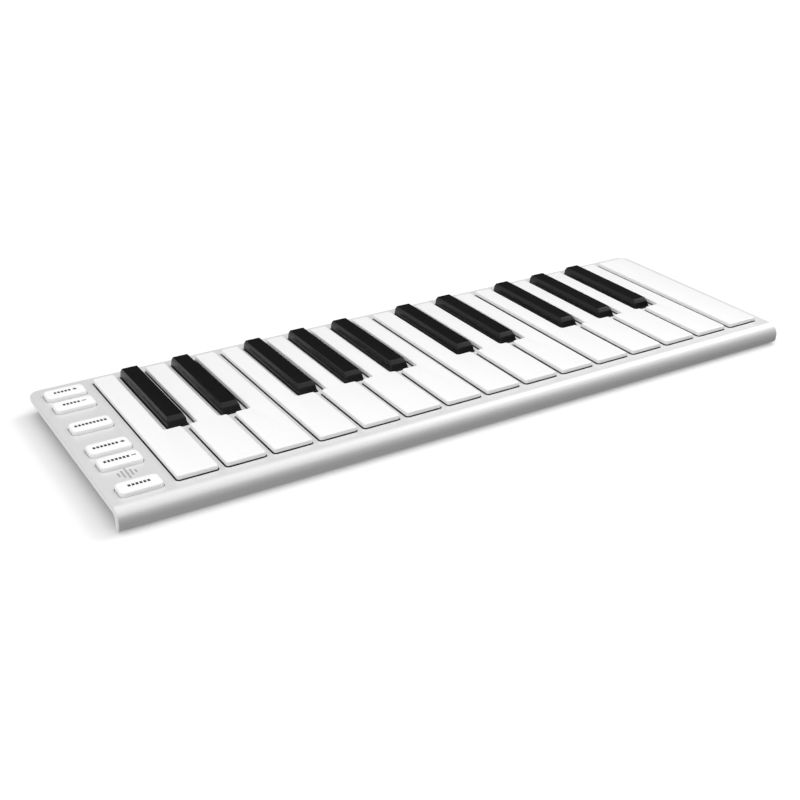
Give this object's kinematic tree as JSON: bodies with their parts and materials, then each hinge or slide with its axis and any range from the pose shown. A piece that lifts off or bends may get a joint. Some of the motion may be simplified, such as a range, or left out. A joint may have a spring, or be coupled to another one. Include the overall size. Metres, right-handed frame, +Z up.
{
  "type": "midi keyboard",
  "caption": "Slim USB music keyboard: bent aluminium shell with separate windows for sprung piano-style keys and a column of push buttons at the left end.",
  "frame": {"origin": "middle of the footprint, on the surface that the feet stand on", "axes": "+X along the keys from low to high notes, +Y to the back, +Z up"},
  "size_m": [0.388, 0.1346, 0.016],
  "materials": {
    "shell_aluminium": "fine bead-blasted, clear anodised",
    "cover_aluminium": "satin black anodised",
    "foot_rubber": "matt black",
    "standoff_brass": "turned",
    "screw_steel": "black-oxide finish",
    "rod_steel": "ground",
    "rail_plastic": "moulded, matt black",
    "spring_steel": "rolled strip",
    "white_key": "satin gloss white",
    "black_key": "satin black",
    "button": "soft satin white",
    "board_green": "solder-masked glass-fibre board",
    "pad_foam": "closed-cell foam",
    "silicone": "matt silicone",
    "felt": "dense wool felt",
    "switch_black": "moulded",
    "chip_black": "moulded epoxy",
    "ribbon_white": "flat flexible cable",
    "socket_metal": "nickel-plated"
  },
  "bodies": {
    "case": {"black_stop_felt": "felt", "board_pads": "pad_foam", "board_ribbon": "ribbon_white", "bottom_cover": "cover_aluminium", "button_board": "board_green", "button_switches": "switch_black", "contact_strip": "silicone", "controller_chip": "chip_black", "cover_screws": "screw_steel", "hinge_rail": "rail_plastic", "key_board": "board_green", "pivot_rod": "rod_steel", "rubber_feet": "foot_rubber", "shell_standoffs": "standoff_brass", "spring_comb": "spring_steel", "top_shell": "shell_aluminium", "usb_socket": "socket_metal", "usb_tongue": "switch_black", "white_stop_felt": "felt"},
    "a1_key_body": {"a1_white_key": "white_key"},
    "a2_key_body": {"a2_white_key": "white_key"},
    "b1_key_body": {"b1_white_key": "white_key"},
    "b2_key_body": {"b2_white_key": "white_key"},
    "c1_key_body": {"c1_white_key": "white_key"},
    "c2_key_body": {"c2_white_key": "white_key"},
    "c3_key_body": {"c3_white_key": "white_key"},
    "d1_key_body": {"d1_white_key": "white_key"},
    "d2_key_body": {"d2_white_key": "white_key"},
    "e1_key_body": {"e1_white_key": "white_key"},
    "e2_key_body": {"e2_white_key": "white_key"},
    "f1_key_body": {"f1_white_key": "white_key"},
    "f2_key_body": {"f2_white_key": "white_key"},
    "g1_key_body": {"g1_white_key": "white_key"},
    "g2_key_body": {"g2_white_key": "white_key"},
    "a_sharp1_key_body": {"a_sharp1_black_key": "black_key"},
    "a_sharp2_key_body": {"a_sharp2_black_key": "black_key"},
    "c_sharp1_key_body": {"c_sharp1_black_key": "black_key"},
    "c_sharp2_key_body": {"c_sharp2_black_key": "black_key"},
    "d_sharp1_key_body": {"d_sharp1_black_key": "black_key"},
    "d_sharp2_key_body": {"d_sharp2_black_key": "black_key"},
    "f_sharp1_key_body": {"f_sharp1_black_key": "black_key"},
    "f_sharp2_key_body": {"f_sharp2_black_key": "black_key"},
    "g_sharp1_key_body": {"g_sharp1_black_key": "black_key"},
    "g_sharp2_key_body": {"g_sharp2_black_key": "black_key"},
    "modulation_button_body": {"modulation_button": "button"},
    "octave_down_button_body": {"octave_down_button": "button"},
    "octave_up_button_body": {"octave_up_button": "button"},
    "pitch_down_button_body": {"pitch_down_button": "button"},
    "pitch_up_button_body": {"pitch_up_button": "button"},
    "sustain_button_body": {"sustain_button": "button"}
  },
  "joints": [
    {"name": "a1_key_swing", "type": "hinge", "parent": "case", "child": "a1_key_body", "pos_m": [0, 0.0626, 0.0054], "axis": [1, 0, 0], "range_deg": [0, 1.1], "stiffness_Nm_per_rad": 1.8, "springref_deg": -2.01},
    {"name": "a2_key_swing", "type": "hinge", "parent": "case", "child": "a2_key_body", "pos_m": [0, 0.0626, 0.0054], "axis": [1, 0, 0], "range_deg": [0, 1.1], "stiffness_Nm_per_rad": 1.8, "springref_deg": -2.01},
    {"name": "b1_key_swing", "type": "hinge", "parent": "case", "child": "b1_key_body", "pos_m": [0, 0.0626, 0.0054], "axis": [1, 0, 0], "range_deg": [0, 1.1], "stiffness_Nm_per_rad": 1.8, "springref_deg": -2.01},
    {"name": "b2_key_swing", "type": "hinge", "parent": "case", "child": "b2_key_body", "pos_m": [0, 0.0626, 0.0054], "axis": [1, 0, 0], "range_deg": [0, 1.1], "stiffness_Nm_per_rad": 1.8, "springref_deg": -2.01},
    {"name": "c1_key_swing", "type": "hinge", "parent": "case", "child": "c1_key_body", "pos_m": [0, 0.0626, 0.0054], "axis": [1, 0, 0], "range_deg": [0, 1.1], "stiffness_Nm_per_rad": 1.8, "springref_deg": -2.01},
    {"name": "c2_key_swing", "type": "hinge", "parent": "case", "child": "c2_key_body", "pos_m": [0, 0.0626, 0.0054], "axis": [1, 0, 0], "range_deg": [0, 1.1], "stiffness_Nm_per_rad": 1.8, "springref_deg": -2.01},
    {"name": "c3_key_swing", "type": "hinge", "parent": "case", "child": "c3_key_body", "pos_m": [0, 0.0626, 0.0054], "axis": [1, 0, 0], "range_deg": [0, 1.1], "stiffness_Nm_per_rad": 1.8, "springref_deg": -2.01},
    {"name": "d1_key_swing", "type": "hinge", "parent": "case", "child": "d1_key_body", "pos_m": [0, 0.0626, 0.0054], "axis": [1, 0, 0], "range_deg": [0, 1.1], "stiffness_Nm_per_rad": 1.8, "springref_deg": -2.01},
    {"name": "d2_key_swing", "type": "hinge", "parent": "case", "child": "d2_key_body", "pos_m": [0, 0.0626, 0.0054], "axis": [1, 0, 0], "range_deg": [0, 1.1], "stiffness_Nm_per_rad": 1.8, "springref_deg": -2.01},
    {"name": "e1_key_swing", "type": "hinge", "parent": "case", "child": "e1_key_body", "pos_m": [0, 0.0626, 0.0054], "axis": [1, 0, 0], "range_deg": [0, 1.1], "stiffness_Nm_per_rad": 1.8, "springref_deg": -2.01},
    {"name": "e2_key_swing", "type": "hinge", "parent": "case", "child": "e2_key_body", "pos_m": [0, 0.0626, 0.0054], "axis": [1, 0, 0], "range_deg": [0, 1.1], "stiffness_Nm_per_rad": 1.8, "springref_deg": -2.01},
    {"name": "f1_key_swing", "type": "hinge", "parent": "case", "child": "f1_key_body", "pos_m": [0, 0.0626, 0.0054], "axis": [1, 0, 0], "range_deg": [0, 1.1], "stiffness_Nm_per_rad": 1.8, "springref_deg": -2.01},
    {"name": "f2_key_swing", "type": "hinge", "parent": "case", "child": "f2_key_body", "pos_m": [0, 0.0626, 0.0054], "axis": [1, 0, 0], "range_deg": [0, 1.1], "stiffness_Nm_per_rad": 1.8, "springref_deg": -2.01},
    {"name": "g1_key_swing", "type": "hinge", "parent": "case", "child": "g1_key_body", "pos_m": [0, 0.0626, 0.0054], "axis": [1, 0, 0], "range_deg": [0, 1.1], "stiffness_Nm_per_rad": 1.8, "springref_deg": -2.01},
    {"name": "g2_key_swing", "type": "hinge", "parent": "case", "child": "g2_key_body", "pos_m": [0, 0.0626, 0.0054], "axis": [1, 0, 0], "range_deg": [0, 1.1], "stiffness_Nm_per_rad": 1.8, "springref_deg": -2.01},
    {"name": "a_sharp1_key_swing", "type": "hinge", "parent": "case", "child": "a_sharp1_key_body", "pos_m": [0, 0.0626, 0.0054], "axis": [1, 0, 0], "range_deg": [0, 1.5], "stiffness_Nm_per_rad": 0.8, "springref_deg": -2.01},
    {"name": "a_sharp2_key_swing", "type": "hinge", "parent": "case", "child": "a_sharp2_key_body", "pos_m": [0, 0.0626, 0.0054], "axis": [1, 0, 0], "range_deg": [0, 1.5], "stiffness_Nm_per_rad": 0.8, "springref_deg": -2.01},
    {"name": "c_sharp1_key_swing", "type": "hinge", "parent": "case", "child": "c_sharp1_key_body", "pos_m": [0, 0.0626, 0.0054], "axis": [1, 0, 0], "range_deg": [0, 1.5], "stiffness_Nm_per_rad": 0.8, "springref_deg": -2.01},
    {"name": "c_sharp2_key_swing", "type": "hinge", "parent": "case", "child": "c_sharp2_key_body", "pos_m": [0, 0.0626, 0.0054], "axis": [1, 0, 0], "range_deg": [0, 1.5], "stiffness_Nm_per_rad": 0.8, "springref_deg": -2.01},
    {"name": "d_sharp1_key_swing", "type": "hinge", "parent": "case", "child": "d_sharp1_key_body", "pos_m": [0, 0.0626, 0.0054], "axis": [1, 0, 0], "range_deg": [0, 1.5], "stiffness_Nm_per_rad": 0.8, "springref_deg": -2.01},
    {"name": "d_sharp2_key_swing", "type": "hinge", "parent": "case", "child": "d_sharp2_key_body", "pos_m": [0, 0.0626, 0.0054], "axis": [1, 0, 0], "range_deg": [0, 1.5], "stiffness_Nm_per_rad": 0.8, "springref_deg": -2.01},
    {"name": "f_sharp1_key_swing", "type": "hinge", "parent": "case", "child": "f_sharp1_key_body", "pos_m": [0, 0.0626, 0.0054], "axis": [1, 0, 0], "range_deg": [0, 1.5], "stiffness_Nm_per_rad": 0.8, "springref_deg": -2.01},
    {"name": "f_sharp2_key_swing", "type": "hinge", "parent": "case", "child": "f_sharp2_key_body", "pos_m": [0, 0.0626, 0.0054], "axis": [1, 0, 0], "range_deg": [0, 1.5], "stiffness_Nm_per_rad": 0.8, "springref_deg": -2.01},
    {"name": "g_sharp1_key_swing", "type": "hinge", "parent": "case", "child": "g_sharp1_key_body", "pos_m": [0, 0.0626, 0.0054], "axis": [1, 0, 0], "range_deg": [0, 1.5], "stiffness_Nm_per_rad": 0.8, "springref_deg": -2.01},
    {"name": "g_sharp2_key_swing", "type": "hinge", "parent": "case", "child": "g_sharp2_key_body", "pos_m": [0, 0.0626, 0.0054], "axis": [1, 0, 0], "range_deg": [0, 1.5], "stiffness_Nm_per_rad": 0.8, "springref_deg": -2.01},
    {"name": "modulation_press", "type": "slide", "parent": "case", "child": "modulation_button_body", "axis": [0, 0, -1], "range_m": [0, 0.0006], "stiffness_N_per_m": 1500, "springref_m": -0.0006},
    {"name": "octave_down_press", "type": "slide", "parent": "case", "child": "octave_down_button_body", "axis": [0, 0, -1], "range_m": [0, 0.0006], "stiffness_N_per_m": 1500, "springref_m": -0.0006},
    {"name": "octave_up_press", "type": "slide", "parent": "case", "child": "octave_up_button_body", "axis": [0, 0, -1], "range_m": [0, 0.0006], "stiffness_N_per_m": 1500, "springref_m": -0.0006},
    {"name": "pitch_down_press", "type": "slide", "parent": "case", "child": "pitch_down_button_body", "axis": [0, 0, -1], "range_m": [0, 0.0006], "stiffness_N_per_m": 1500, "springref_m": -0.0006},
    {"name": "pitch_up_press", "type": "slide", "parent": "case", "child": "pitch_up_button_body", "axis": [0, 0, -1], "range_m": [0, 0.0006], "stiffness_N_per_m": 1500, "springref_m": -0.0006},
    {"name": "sustain_press", "type": "slide", "parent": "case", "child": "sustain_button_body", "axis": [0, 0, -1], "range_m": [0, 0.0006], "stiffness_N_per_m": 1500, "springref_m": -0.0006}
  ]
}
